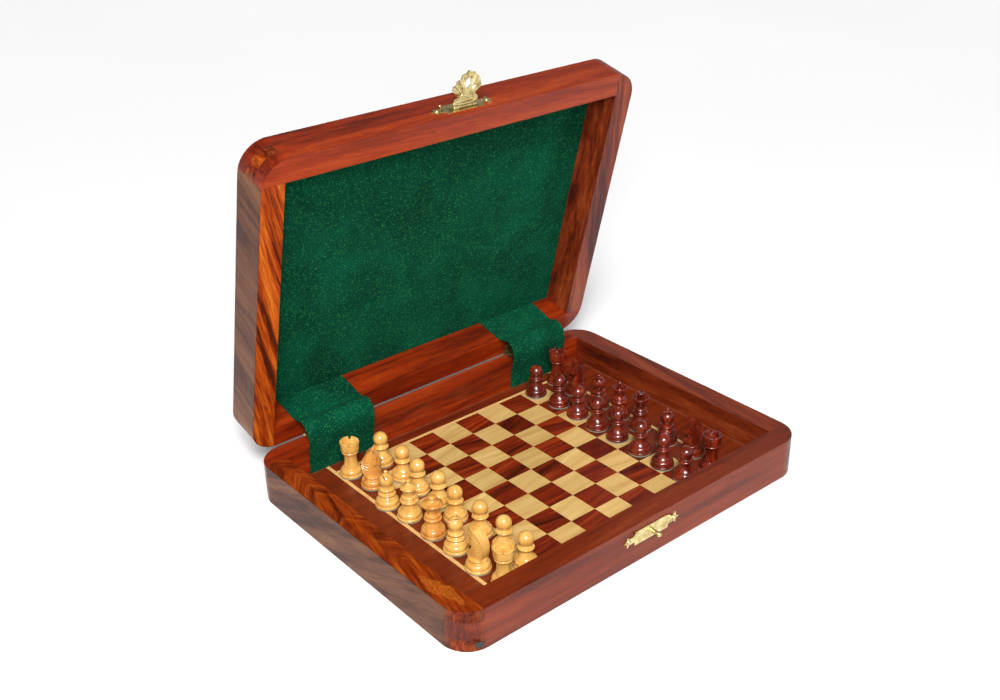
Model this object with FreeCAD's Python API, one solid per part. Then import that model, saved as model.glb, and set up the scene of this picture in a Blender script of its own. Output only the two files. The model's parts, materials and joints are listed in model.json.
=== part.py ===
"""A travelling chess set: a hinged wooden box whose base holds a magnetic board and 32 turned pieces.

Millimetres. The origin is the middle of the base's underside. +Z is up, +X runs along the hinge from
the light pieces to the dark ones, and +Y runs from the latch to the hinge. The lid stands open.
"""
import FreeCAD, Part
import math
import os

# ---- the box ----
LENGTH = 203.2
WIDTH = 152.4
RAIL = 11.0
CORNER_R = 13.0
BASE_H = 19.5
LID_H = 18.0
PARTING = 0.5
EDGE_ROUND = 0.6
BASE_FINGERS = (0.0, 6.0, 14.0, BASE_H)
LID_FINGERS = (0.0, 6.0, 12.0, LID_H)

# ---- the layers in the base, from the underside up ----
BOTTOM_PANEL_TOP = 2.4
CORE_TOP = 4.9
STEEL_TOP = 5.4
BOARD_TOP = 6.0

# ---- the playing surface ----
SQUARE = 14.2
RANKS = 8
STRIP = 12.4
STRING_WIDTH = 1.8

# ---- the lid ----
LID_PANEL = 1.5
LINING = 0.5
LID_OPEN_DEG = 75.4
HINGE_Y = WIDTH / 2 + 0.4
HINGE_Z = BASE_H + PARTING / 2

# ---- the two butt hinges and the cloth flaps over them ----
HINGE_X = 61.4
HINGE_LENGTH = 25.0
LEAF_DEPTH = 9.0
LEAF_THICK = 0.4
LEAF_INSET = 0.2
KNUCKLE_R = 1.1
HINGE_PIN_R = 0.5
HINGE_BORE_R = 0.55
KNUCKLE_ROOM = 0.35
SCREW_R = 0.7
SCREW_LENGTH = 6.0
FLAP_WIDTH = 36.0
FLAP_THICK = 0.5
FLAP_OFF_WALL = 0.15

# ---- the latch ----
PLATE_LENGTH = 33.0
PLATE_HEIGHT = 6.6
PLATE_BODY = 20.0
PLATE_THICK = 0.4
STAR_R = 2.9
STAR_INNER_R = 1.5
NAIL_R = 0.5
NAIL_HEAD_R = 0.9
NAIL_LENGTH = 5.0
LATCH_PLATE_Z = 25.7
STRIKE_Z = 13.0
STUD_R = 1.0
STUD_LENGTH = 5.2
STUD_TIP_R = 1.2
HASP_DROP = 11.0
HASP_THICK = 0.5
HASP_ARM_WIDTH = 13.6
HASP_ARM_END = 3.9
HASP_NECK_WIDTH = 9.2
HASP_TIP = 16.3
SHELL_WIDTH = 16.2
HASP_HOLE_AT = 10.6
HASP_HOLE_HALF_WIDTH = 1.5
HASP_HOLE_LENGTH = 4.6
HASP_PIN_R = 0.45
HASP_KNUCKLE_R = 0.9
HASP_OFF_FACE = 1.4
HASP_REST_DEG = 90.0

# ---- the pieces ----
FELT = 0.5
MAGNET_R = 3.0
MAGNET_TOP = 2.5
BACK_RANK = ("rook", "knight", "bishop", "queen", "king", "bishop", "knight", "rook")
KNIGHT_THICK = 4.4

IN_X = LENGTH / 2 - RAIL
IN_Y = WIDTH / 2 - RAIL
HASP_PIN_Z = STRIKE_Z + HASP_DROP
X_AXIS = FreeCAD.Vector(1, 0, 0)
Z_AXIS = FreeCAD.Vector(0, 0, 1)


def vec(x, y, z):
    return FreeCAD.Vector(x, y, z)


def block(x0, x1, y0, y1, z0, z1):
    return Part.makeBox(x1 - x0, y1 - y0, z1 - z0, vec(x0, y0, z0))


def rod(radius, start, direction, length):
    return Part.makeCylinder(radius, length, start, direction)


def save(name, solids):
    shape = solids if isinstance(solids, Part.Shape) else Part.makeCompound(solids)
    shape.exportStep(os.path.join("parts", name + ".step"))


def opened(shape):
    """A lid piece modelled with the lid shut, turned about the hinge pins to where the lid stands."""
    turned_shape = shape.copy()
    turned_shape.rotate(vec(0, HINGE_Y, HINGE_Z), X_AXIS, -LID_OPEN_DEG)
    return turned_shape


# ---------------------------------------------------------------- box rails

def rounded_block(height, z0, softened_z):
    """The whole outside of one half of the box, with its outer edge at softened_z eased."""
    body = block(-LENGTH / 2, LENGTH / 2, -WIDTH / 2, WIDTH / 2, z0, z0 + height)
    upright = [e for e in body.Edges if abs(e.tangentAt(e.FirstParameter).z) > 0.99]
    body = body.makeFillet(CORNER_R, upright)
    rim = [e for e in body.Edges if abs(e.BoundBox.ZMin - softened_z) < 1e-6
           and abs(e.BoundBox.ZMax - softened_z) < 1e-6]
    return body.makeFillet(EDGE_ROUND, rim)


def rails(height, z0, softened_z, fingers, first_owner):
    """Four rails of one half, box-jointed: at each corner one rail has the two outer fingers."""
    pocket = block(-IN_X, IN_X, -IN_Y, IN_Y, z0 - 1, z0 + height + 1)
    frame = rounded_block(height, z0, softened_z).cut(pocket)
    far = LENGTH
    bars = {
        "front": block(-IN_X, IN_X, -far, -IN_Y, z0, z0 + height),
        "right": block(IN_X, far, -IN_Y, IN_Y, z0, z0 + height),
        "back": block(-IN_X, IN_X, IN_Y, far, z0, z0 + height),
        "left": block(-far, -IN_X, -IN_Y, IN_Y, z0, z0 + height),
    }
    corners = {("left", "front"): (-1, -1), ("front", "right"): (1, -1),
               ("right", "back"): (1, 1), ("back", "left"): (-1, 1)}
    shares = {name: [bar] for name, bar in bars.items()}
    for (one, other), (sx, sy) in corners.items():
        xs = sorted((sx * IN_X, sx * far))
        ys = sorted((sy * IN_Y, sy * far))
        for level in range(3):
            finger = block(*xs, *ys, z0 + fingers[level], z0 + fingers[level + 1])
            outer_owner, middle_owner = (one, other) if first_owner else (other, one)
            shares[middle_owner if level == 1 else outer_owner].append(finger)
    made = {}
    for name, parts in shares.items():
        region = parts[0].multiFuse(parts[1:])
        made[name] = frame.common(region).removeSplitter()
    return made


def hinge_room(z_low, z_high):
    """What is cut from a back rail for one hinge's knuckles and its leaf."""
    cuts = []
    for side in (-1, 1):
        x0 = side * HINGE_X - HINGE_LENGTH / 2 - 0.1
        long = HINGE_LENGTH + 0.2
        cuts.append(rod(KNUCKLE_R + KNUCKLE_ROOM, vec(x0, HINGE_Y, HINGE_Z), X_AXIS, long))
        cuts.append(block(x0, x0 + long, HINGE_Y - LEAF_DEPTH - 0.1, WIDTH, z_low, z_high))
    return cuts


def screw_places():
    """The two screws of each leaf, as (x, y)."""
    y = HINGE_Y - LEAF_DEPTH / 2 - 0.8
    return [(side * HINGE_X + along, y) for side in (-1, 1) for along in (-7.5, 7.5)]


def nail_places():
    """The nails at the ends of a latch plate, as x."""
    return (-PLATE_LENGTH / 2 + STAR_R, PLATE_LENGTH / 2 - STAR_R)


def base_rails():
    made = rails(BASE_H, 0.0, 0.0, BASE_FINGERS, True)
    back = made["back"]
    for cut in hinge_room(BASE_H - LEAF_INSET, BASE_H + 1):
        back = back.cut(cut)
    for x, y in screw_places():
        back = back.cut(rod(SCREW_R, vec(x, y, BASE_H - SCREW_LENGTH), Z_AXIS, SCREW_LENGTH + 1))
    made["back"] = back
    front = made["front"]
    for x in nail_places():
        front = front.cut(rod(NAIL_R, vec(x, -WIDTH / 2 + NAIL_LENGTH, STRIKE_Z), vec(0, -1, 0), 9))
    made["front"] = front
    for name, shape in made.items():
        save("base_" + name + "_rail", shape)


def lid_rails():
    z0 = BASE_H + PARTING
    made = rails(LID_H, z0, z0 + LID_H, LID_FINGERS, False)
    back = made["back"]
    for cut in hinge_room(z0 - 1, z0 + LEAF_INSET):
        back = back.cut(cut)
    for x, y in screw_places():
        back = back.cut(rod(SCREW_R, vec(x, y, z0 - 1), Z_AXIS, SCREW_LENGTH + 1))
    made["back"] = back
    front = made["front"]
    for x in nail_places():
        front = front.cut(rod(NAIL_R, vec(x, -WIDTH / 2 + NAIL_LENGTH, LATCH_PLATE_Z), vec(0, -1, 0), 9))
    made["front"] = front
    for name, shape in made.items():
        save("lid_" + name + "_rail", opened(shape))
    inner_top = z0 + LID_H - LID_PANEL
    save("lid_top_panel", opened(block(-IN_X, IN_X, -IN_Y, IN_Y, inner_top, z0 + LID_H)))
    save("lid_lining", opened(block(-IN_X, IN_X, -IN_Y, IN_Y, inner_top - LINING, inner_top)))


# ---------------------------------------------------------------- board

def board():
    save("base_bottom_panel", block(-IN_X, IN_X, -IN_Y, IN_Y, 0, BOTTOM_PANEL_TOP))
    save("board_core", block(-IN_X, IN_X, -IN_Y, IN_Y, BOTTOM_PANEL_TOP, CORE_TOP))
    save("steel_sheet", block(-IN_X, IN_X, -IN_Y, IN_Y, CORE_TOP, STEEL_TOP))

    field = SQUARE * RANKS / 2
    tiles = {"dark_squares": [], "light_squares": []}
    for column in range(RANKS):
        for row in range(RANKS):
            x0 = -field + column * SQUARE
            y0 = -field + row * SQUARE
            tile = block(x0, x0 + SQUARE, y0, y0 + SQUARE, STEEL_TOP, BOARD_TOP)
            name = "light_squares" if (column + row) % 2 == 0 else "dark_squares"
            tiles[name].append(tile)
    for name, solids in tiles.items():
        save(name, solids)

    strip_end = field + STRIP
    string_end = strip_end + STRING_WIDTH
    string_y = field + STRING_WIDTH
    borders = []
    strings = []
    for side in (-1, 1):
        strip_x = sorted((side * field, side * strip_end))
        string_x = sorted((side * strip_end, side * string_end))
        end_x = sorted((side * string_end, side * IN_X))
        borders.append(block(*strip_x, -field, field, STEEL_TOP, BOARD_TOP))
        borders.append(block(*end_x, -IN_Y, IN_Y, STEEL_TOP, BOARD_TOP))
        strings.append(block(*string_x, -IN_Y, IN_Y, STEEL_TOP, BOARD_TOP))
        string_rows = sorted((side * field, side * string_y))
        border_rows = sorted((side * string_y, side * IN_Y))
        strings.append(block(-strip_end, strip_end, *string_rows, STEEL_TOP, BOARD_TOP))
        borders.append(block(-strip_end, strip_end, *border_rows, STEEL_TOP, BOARD_TOP))
    save("board_borders", borders)
    save("board_stringing", strings)


# ---------------------------------------------------------------- hinges and flaps

def leaf(side, above):
    """One hinge leaf with its knuckles: the lid's leaf has the middle knuckle, the base's the others."""
    x0 = side * HINGE_X - HINGE_LENGTH / 2
    third = HINGE_LENGTH / 3
    gap = 0.1
    wood = BASE_H + PARTING if above else BASE_H
    z0 = wood + LEAF_INSET - LEAF_THICK if above else wood - LEAF_INSET
    plate = block(x0, x0 + HINGE_LENGTH, HINGE_Y - LEAF_DEPTH, HINGE_Y, z0, z0 + LEAF_THICK)
    spans = [(third + gap, 2 * third - gap)] if above else [(0, third - gap), (2 * third + gap, HINGE_LENGTH)]
    others = [(0, third), (2 * third, HINGE_LENGTH)] if above else [(third, 2 * third)]
    for a, b in others:
        room = rod(KNUCKLE_R + 0.15, vec(x0 + a, HINGE_Y, HINGE_Z), X_AXIS, b - a)
        plate = plate.cut(room)
        plate = plate.cut(block(x0 + a, x0 + b, HINGE_Y - 0.6, HINGE_Y + 3, z0 - 1, z0 + 2))
    for a, b in spans:
        plate = plate.fuse(rod(KNUCKLE_R, vec(x0 + a, HINGE_Y, HINGE_Z), X_AXIS, b - a))
    plate = plate.cut(rod(HINGE_BORE_R, vec(x0 - 1, HINGE_Y, HINGE_Z), X_AXIS, HINGE_LENGTH + 2))
    for x, y in screw_places():
        plate = plate.cut(rod(SCREW_R, vec(x, y, z0 - 1), Z_AXIS, 3))
    solids = plate.removeSplitter().Solids
    return max(solids, key=lambda s: s.Volume)


def hinges():
    save("base_hinge_leaves", [leaf(side, False) for side in (-1, 1)])
    save("lid_hinge_leaves", [opened(leaf(side, True)) for side in (-1, 1)])
    pins = []
    for side in (-1, 1):
        start = vec(side * HINGE_X - HINGE_LENGTH / 2, HINGE_Y, HINGE_Z)
        pins.append(rod(HINGE_PIN_R, start, X_AXIS, HINGE_LENGTH))
    save("hinge_pins", pins)


def flap_path():
    """The flap's outer line seen from +X, as (y, z) points from the lid's lining down to the board."""
    lid_top = BASE_H + PARTING + LID_H - LID_PANEL - LINING
    angle = math.radians(LID_OPEN_DEG)

    def on_lid(z_shut):
        dy = IN_Y - FLAP_OFF_WALL - HINGE_Y
        dz = z_shut - HINGE_Z
        y = HINGE_Y + dy * math.cos(angle) + dz * math.sin(angle)
        z = HINGE_Z - dy * math.sin(angle) + dz * math.cos(angle)
        return (y, z)

    wall = IN_Y - FLAP_OFF_WALL
    return [on_lid(lid_top - 0.2), on_lid(BASE_H + PARTING + 0.5), (68.0, 32.2), (64.1, 29.9),
            (62.8, 25.6), (63.5, 19.9), (wall - 0.4, 15.0), (wall, 11.0), (wall, BOARD_TOP + 0.2)]


def flaps():
    """Two strips of the lining cloth that run over the hinges and down the base's back rail."""
    path = [vec(0, y, z) for y, z in flap_path()]
    crossing = Part.BSplineCurve()
    crossing.interpolate(path[1:8])
    inner = []
    steps = 24
    first = crossing.FirstParameter
    last = crossing.LastParameter
    outer = [path[0]]
    for k in range(steps + 1):
        outer.append(crossing.value(first + (last - first) * k / steps))
    outer.append(path[-1])
    for k, point in enumerate(outer):
        before = outer[max(k - 1, 0)]
        after = outer[min(k + 1, len(outer) - 1)]
        along = (after - before).normalize()
        inner.append(point + vec(0, along.z, -along.y) * FLAP_THICK)
    ring = outer + inner[::-1]
    face = Part.Face(Part.makePolygon(ring + [ring[0]]))
    for name, side in (("left", -1), ("right", 1)):
        strip = face.extrude(vec(FLAP_WIDTH, 0, 0))
        strip.translate(vec(side * HINGE_X - FLAP_WIDTH / 2, 0, 0))
        save(name + "_hinge_flap", strip)


# ---------------------------------------------------------------- latch

def star(x, z):
    """The pierced star at each end of a latch plate, as a flat face on the front of the box."""
    points = []
    for k in range(10):
        radius = STAR_R if k % 2 == 0 else STAR_INNER_R
        angle = math.pi * k / 5 + (math.pi if x < 0 else 0)
        points.append(vec(x + radius * math.cos(angle), -WIDTH / 2, z + radius * math.sin(angle)))
    return Part.Face(Part.makePolygon(points + [points[0]])).extrude(vec(0, -PLATE_THICK, 0))


def latch_plate(z):
    """A thin plate with a star at each end, lying on the front of the box at height z."""
    half = PLATE_HEIGHT / 2
    front = -WIDTH / 2
    plate = block(-PLATE_BODY / 2, PLATE_BODY / 2, front - PLATE_THICK, front, z - half, z + half)
    waist = block(-PLATE_LENGTH / 2 + STAR_R, PLATE_LENGTH / 2 - STAR_R,
                  front - PLATE_THICK, front, z - 1.0, z + 1.0)
    plate = plate.fuse(waist)
    for x in nail_places():
        plate = plate.fuse(star(x, z))
    for x in nail_places():
        plate = plate.cut(rod(NAIL_R, vec(x, front + 1, z), vec(0, -1, 0), 3))
    return plate.removeSplitter()


def nails(z):
    made = []
    front = -WIDTH / 2
    for x in nail_places():
        shank = rod(NAIL_R, vec(x, front + NAIL_LENGTH, z), vec(0, -1, 0), NAIL_LENGTH + PLATE_THICK)
        head = rod(NAIL_HEAD_R, vec(x, front - PLATE_THICK, z), vec(0, -1, 0), 0.4)
        made.append(shank.fuse(head))
    return made


def hinge_screws(above):
    made = []
    wood = BASE_H + PARTING if above else BASE_H
    up = 1 if above else -1
    level = wood + up * (LEAF_INSET - LEAF_THICK)
    for x, y in screw_places():
        made.append(rod(SCREW_R, vec(x, y, level), vec(0, 0, up), SCREW_LENGTH - LEAF_THICK))
    return made


def fixings():
    save("base_fixings", hinge_screws(False) + nails(STRIKE_Z))
    save("lid_fixings", [opened(s) for s in hinge_screws(True) + nails(LATCH_PLATE_Z)])


def hasp_outline():
    """Half of the hasp seen from the front, as (x, distance below the pin), down to its tip."""
    arm = HASP_ARM_WIDTH / 2
    neck = HASP_NECK_WIDTH / 2
    shell = SHELL_WIDTH / 2
    return [(arm, 1.3), (arm - 0.7, HASP_ARM_END), (neck, HASP_ARM_END + 0.6),
            (shell, HASP_ARM_END + 4.2), (shell - 0.6, 10.6), (shell - 2.6, 13.4), (2.4, 15.6)]


def hasp_at(angle_deg):
    """The hasp on its pin, hanging at angle 0 and turned outwards and up by angle_deg."""
    pin_y = -WIDTH / 2 - HASP_OFF_FACE
    half = hasp_outline()
    corners = [(x, d) for x, d in half] + [(0, HASP_TIP)] + [(-x, d) for x, d in half[::-1]]
    ring = [vec(x, pin_y - HASP_THICK / 2, HASP_PIN_Z - d) for x, d in corners]
    leaf_shape = Part.Face(Part.makePolygon(ring + [ring[0]])).extrude(vec(0, HASP_THICK, 0))
    neck = block(-3.9, 3.9, pin_y - HASP_THICK / 2, pin_y + HASP_THICK / 2, HASP_PIN_Z - 1.5, HASP_PIN_Z)
    barrel = rod(HASP_KNUCKLE_R, vec(-3.9, pin_y, HASP_PIN_Z), X_AXIS, 7.8)
    body = leaf_shape.multiFuse([neck, barrel])
    straight = HASP_HOLE_LENGTH / 2 - HASP_HOLE_HALF_WIDTH
    hole_z = HASP_PIN_Z - HASP_HOLE_AT
    wide = HASP_HOLE_HALF_WIDTH
    outward = vec(0, -1, 0)
    for cut in (block(-wide, wide, pin_y - 2, pin_y + 2, hole_z - straight, hole_z + straight),
                rod(wide, vec(0, pin_y + 2, hole_z - straight), outward, 4),
                rod(wide, vec(0, pin_y + 2, hole_z + straight), outward, 4),
                rod(HASP_PIN_R + 0.05, vec(-5, pin_y, HASP_PIN_Z), X_AXIS, 10)):
        body = body.cut(cut)
    body = body.removeSplitter()
    body.rotate(vec(0, pin_y, HASP_PIN_Z), X_AXIS, -angle_deg)
    return body


def latch():
    pin_y = -WIDTH / 2 - HASP_OFF_FACE
    plate = latch_plate(LATCH_PLATE_Z)
    for x0 in (-6.0, 4.1):
        loop = rod(HASP_KNUCKLE_R, vec(x0, pin_y, HASP_PIN_Z), X_AXIS, 1.9)
        ear = block(x0, x0 + 1.9, pin_y, -WIDTH / 2 - PLATE_THICK / 2, HASP_PIN_Z, HASP_PIN_Z + 0.9)
        plate = plate.multiFuse([loop, ear])
    plate = plate.cut(rod(HASP_PIN_R, vec(-7, pin_y, HASP_PIN_Z), X_AXIS, 14)).removeSplitter()
    save("lid_latch_plate", opened(plate))
    save("hasp", opened(hasp_at(HASP_REST_DEG)))
    save("hasp_pin", opened(rod(HASP_PIN_R, vec(-6.2, pin_y, HASP_PIN_Z), X_AXIS, 12.4)))

    strike = latch_plate(STRIKE_Z)
    face = -WIDTH / 2 - PLATE_THICK
    stud = rod(STUD_R, vec(0, face, STRIKE_Z), vec(0, -1, 0), STUD_LENGTH - STUD_TIP_R)
    tip = Part.makeSphere(STUD_TIP_R, vec(0, face - STUD_LENGTH + STUD_TIP_R, STRIKE_Z))
    save("strike_plate", [strike, stud.fuse(tip)])


# ---------------------------------------------------------------- chess pieces

def turned(*steps):
    """A solid of revolution. Each step is a point (r, z), or two: an arc's middle and its end."""
    def at(point):
        return vec(point[0], 0, point[1])

    here = at((0, FELT))
    edges = []
    for step in steps:
        if isinstance(step[0], tuple):
            there = at(step[1])
            edges.append(Part.Arc(here, at(step[0]), there).toShape())
        else:
            there = at(step)
            edges.append(Part.LineSegment(here, there).toShape())
        here = there
    edges.append(Part.LineSegment(here, at((0, FELT))).toShape())
    return Part.Face(Part.Wire(edges)).revolve(vec(0, 0, 0), Z_AXIS, 360)


def ball(radius, centre, neck):
    """The steps of a ball that ends a piece: where it leaves its neck, then round it to the top."""
    return [(neck, centre - math.sqrt(radius ** 2 - neck ** 2)), ((radius, centre), (0, centre + radius))]


def foot(radius):
    """The foot and the bell that every piece stands on, up to the waist, as turned steps."""
    return [(radius - 0.1, FELT), ((radius + 0.1, 1.0), (radius - 0.1, 1.5)), (radius - 0.5, 1.7),
            ((radius - 0.5, 3.2), (radius - 1.4, 4.5)), (radius - 1.7, 4.8)]


def pawn():
    return turned(*foot(5.6), ((2.8, 6.6), (2.4, 8.6)), (3.2, 8.9), ((3.65, 9.5), (3.2, 10.1)),
                  *ball(3.45, 13.45, 2.2))


def rook():
    body = turned(*foot(5.4), (3.6, 5.6), ((2.9, 8.2), (3.0, 11.0)), (3.5, 12.2), ((3.9, 12.6), (3.9, 13.1)),
                  (4.3, 13.6), (4.45, 18.1), (3.3, 18.1), (3.2, 16.0), (0, 16.0))
    for turn in (0, 90):
        slot = block(-6, 6, -0.55, 0.55, 16.8, 19)
        slot.rotate(vec(0, 0, 0), Z_AXIS, turn + 45)
        body = body.cut(slot)
    return body


def bishop():
    head_r = 3.3
    centre = 13.6
    neck = 2.4
    stem = 0.5
    head_start = centre - math.sqrt(head_r ** 2 - neck ** 2)
    head_end = centre + math.sqrt(head_r ** 2 - stem ** 2)
    body = turned(*foot(5.6), (3.3, 5.6), (3.7, 6.0), ((4.0, 6.6), (3.7, 7.2)), (3.0, 7.6), (3.2, 8.4),
                  ((3.5, 9.0), (3.2, 9.6)), (2.4, 9.9), (neck, head_start),
                  ((head_r, centre), (stem, head_end)), *ball(0.85, 17.6, stem))
    slit = block(0.6, 4.0, -4, 4, -0.25, 0.25)
    slit.rotate(vec(0, 0, 0), vec(0, 1, 0), -50)
    slit.translate(vec(0, 0, centre + 0.4))
    return body.cut(slit)


def queen():
    return turned(*foot(5.7), (3.5, 6.4), (3.3, 7.4), (3.9, 8.6), ((4.15, 9.2), (3.9, 9.8)), (3.0, 10.3),
                  ((3.35, 10.9), (3.0, 11.5)), (2.5, 12.0), ((2.6, 13.6), (3.7, 15.4)), (3.75, 15.9),
                  (3.2, 16.2), ((2.0, 16.8), (0.8, 17.6)), (0.6, 17.8), *ball(1.0, 18.8, 0.6))


def king():
    return turned(*foot(5.7), (3.6, 6.4), (3.1, 7.6), (3.6, 8.0), ((3.85, 8.6), (3.6, 9.2)), (3.0, 9.6),
                  ((3.5, 10.3), (3.0, 11.0)), (2.5, 11.5), ((2.7, 13.4), (4.4, 15.6)), (4.6, 16.1),
                  (4.2, 16.5), ((2.8, 17.0), (1.5, 17.9)), (1.6, 19.5), (1.2, 19.9), (0, 20.0))


def knight():
    stand = turned(*foot(5.7), (4.0, 5.3), (4.0, 6.2), (0, 6.2))
    profile = [(-3.6, 6.0), (3.4, 6.0), (3.0, 8.2), (1.4, 10.6), (1.2, 11.6), (4.2, 11.0), (5.0, 12.4),
               (3.6, 14.8), (1.6, 17.0), (1.2, 19.5), (-0.4, 18.2), (-2.4, 16.2), (-3.8, 12.6), (-4.0, 9.0)]
    ring = [vec(x, -KNIGHT_THICK / 2, z) for x, z in profile]
    head = Part.Face(Part.makePolygon(ring + [ring[0]])).extrude(vec(0, KNIGHT_THICK, 0))
    return stand.fuse(head).removeSplitter()


MAKERS = {"pawn": pawn, "rook": rook, "knight": knight, "bishop": bishop, "queen": queen, "king": king}
FOOT_R = {"pawn": 5.6, "rook": 5.4, "knight": 5.7, "bishop": 5.6, "queen": 5.7, "king": 5.7}


def chess_piece(kind):
    """The wooden body with its magnet in a bore underneath and a felt disc over both."""
    body = MAKERS[kind]()
    magnet = rod(MAGNET_R, vec(0, 0, FELT), Z_AXIS, MAGNET_TOP - FELT)
    felt = rod(FOOT_R[kind] - 0.3, vec(0, 0, 0), Z_AXIS, FELT)
    return [body.cut(magnet), magnet, felt]


# Where each piece stands, from the hinge side to the latch side: a hand has set them down,
# so they are near the middles of their squares and not on them. Entries are (x, y).
STANDS = {
    "white": {"back": [(-65, 52), (-62.5, 38), (-67, 20.5), (-65, 6.5),
                       (-65, -10.5), (-64.5, -25.5), (-65.5, -41.5), (-64, -56)],
              "pawn": [(-49, 50.5), (-48.5, 34), (-50, 20.5), (-49, 6.5),
                       (-50.5, -7.5), (-49.5, -23.5), (-49, -38.5), (-49.5, -53)]},
    "black": {"back": [(66, 54), (66, 39.5), (64.5, 21.5), (65, 7.5),
                       (65, -7), (65, -24.5), (66, -40), (63, -54)],
              "pawn": [(49, 51.5), (51, 36), (50, 21.5), (49.5, 7),
                       (49.5, -7), (49, -22.5), (48, -38), (48, -52)]},
}
KNIGHT_FACES = {"white": (-20, 165), "black": (190, 175)}


def pieces():
    for side, ranks in STANDS.items():
        seen = {}
        for kind, (x, y) in zip(BACK_RANK, ranks["back"]):
            seen[kind] = seen.get(kind, 0) + 1
            solids = chess_piece(kind)
            name = side + "_" + kind
            if kind not in ("king", "queen"):
                name += "_" + str(seen[kind])
            for solid in solids:
                if kind == "knight":
                    solid.rotate(vec(0, 0, 0), Z_AXIS, KNIGHT_FACES[side][seen[kind] - 1])
                solid.translate(vec(x, y, BOARD_TOP))
            save(name, solids)
        for number, (x, y) in enumerate(ranks["pawn"], 1):
            solids = chess_piece("pawn")
            for solid in solids:
                solid.translate(vec(x, y, BOARD_TOP))
            save(side + "_pawn_" + str(number), solids)


def main():
    os.makedirs("parts", exist_ok=True)
    base_rails()
    lid_rails()
    board()
    hinges()
    flaps()
    fixings()
    latch()
    pieces()


main()
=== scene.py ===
"""A travelling chess set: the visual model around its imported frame. Metres; outlines are in millimetres."""
import json
import math
import random

import bmesh
import bpy
from mathutils import Matrix, Vector, noise

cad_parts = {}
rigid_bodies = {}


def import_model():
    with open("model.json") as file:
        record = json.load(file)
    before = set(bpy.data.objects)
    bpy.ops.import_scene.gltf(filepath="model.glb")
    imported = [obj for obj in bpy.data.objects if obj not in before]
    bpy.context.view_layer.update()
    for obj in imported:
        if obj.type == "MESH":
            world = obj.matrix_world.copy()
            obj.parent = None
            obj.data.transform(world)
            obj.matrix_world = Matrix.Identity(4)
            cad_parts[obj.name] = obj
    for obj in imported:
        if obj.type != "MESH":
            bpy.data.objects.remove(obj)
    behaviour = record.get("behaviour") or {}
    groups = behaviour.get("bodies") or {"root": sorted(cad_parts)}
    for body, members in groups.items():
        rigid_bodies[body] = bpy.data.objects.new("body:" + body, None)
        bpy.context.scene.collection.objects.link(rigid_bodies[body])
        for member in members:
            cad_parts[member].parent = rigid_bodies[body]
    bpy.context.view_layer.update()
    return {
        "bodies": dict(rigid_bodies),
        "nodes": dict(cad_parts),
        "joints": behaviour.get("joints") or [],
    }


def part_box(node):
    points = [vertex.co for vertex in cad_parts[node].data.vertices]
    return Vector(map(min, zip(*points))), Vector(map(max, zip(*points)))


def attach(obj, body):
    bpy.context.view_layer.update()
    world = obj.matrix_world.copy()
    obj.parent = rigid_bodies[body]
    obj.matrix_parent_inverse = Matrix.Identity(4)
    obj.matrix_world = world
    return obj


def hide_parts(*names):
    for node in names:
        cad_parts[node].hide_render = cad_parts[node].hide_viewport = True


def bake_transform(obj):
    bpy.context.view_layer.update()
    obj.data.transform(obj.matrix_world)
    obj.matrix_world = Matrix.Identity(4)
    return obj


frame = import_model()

MM = 0.001
scene = bpy.context.scene
random.seed(7)

# ---- places from the frame, in millimetres ----
HALF_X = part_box("base_right_rail")[1].x / MM
HALF_Y = -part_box("base_front_rail")[0].y / MM
IN_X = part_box("base_bottom_panel")[1].x / MM
IN_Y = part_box("base_bottom_panel")[1].y / MM
BOARD_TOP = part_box("light_squares")[1].z / MM
BASE_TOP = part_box("base_front_rail")[1].z / MM

# ---- the lid's hinge in metres, and the way between the shut lid and the open one ----
hinge = next(j for j in frame["joints"] if j["name"] == "lid_hinge")
HINGE = Vector(hinge["pos_m"])
LID_OPEN = -math.radians(hinge["range_deg"][0])
LID = Matrix.Translation(HINGE) @ Matrix.Rotation(-LID_OPEN, 4, "X") @ Matrix.Translation(-HINGE)
OPEN_MM = Matrix.Scale(1 / MM, 4) @ LID @ Matrix.Scale(MM, 4)
LID_BACK = HINGE - Matrix.Rotation(LID_OPEN, 3, "X") @ HINGE

# ---- sizes that the boxes of the nodes don't show, in millimetres, with the lid shut ----
SQUARE = 14.2
PARTING = 0.5
PARTING_TOP = BASE_TOP + PARTING
LINING_FACE = PARTING_TOP + 16.0
CORNER_ROUND = 13.0
BASE_FINGER = (6.0, 14.0)
LID_FINGER = (PARTING_TOP + 6.0, PARTING_TOP + 12.0)


def at(x, y, z):
    return Matrix.Translation((x, y, z))


def rotated(degrees, axis):
    return Matrix.Rotation(math.radians(degrees), 4, axis)


def rgb(red, green, blue):
    """Linear colour from 0-255 display values."""
    def channel(v):
        v /= 255
        return v / 12.92 if v <= 0.04045 else ((v + 0.055) / 1.055) ** 2.4
    return (channel(red), channel(green), channel(blue), 1.0)


# ---- materials ----

def fill_ramp(band, stops):
    while len(band.elements) < len(stops):
        band.elements.new(0.5)
    for element, (position, colour) in zip(band.elements, stops):
        element.position = position
        element.color = colour


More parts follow.
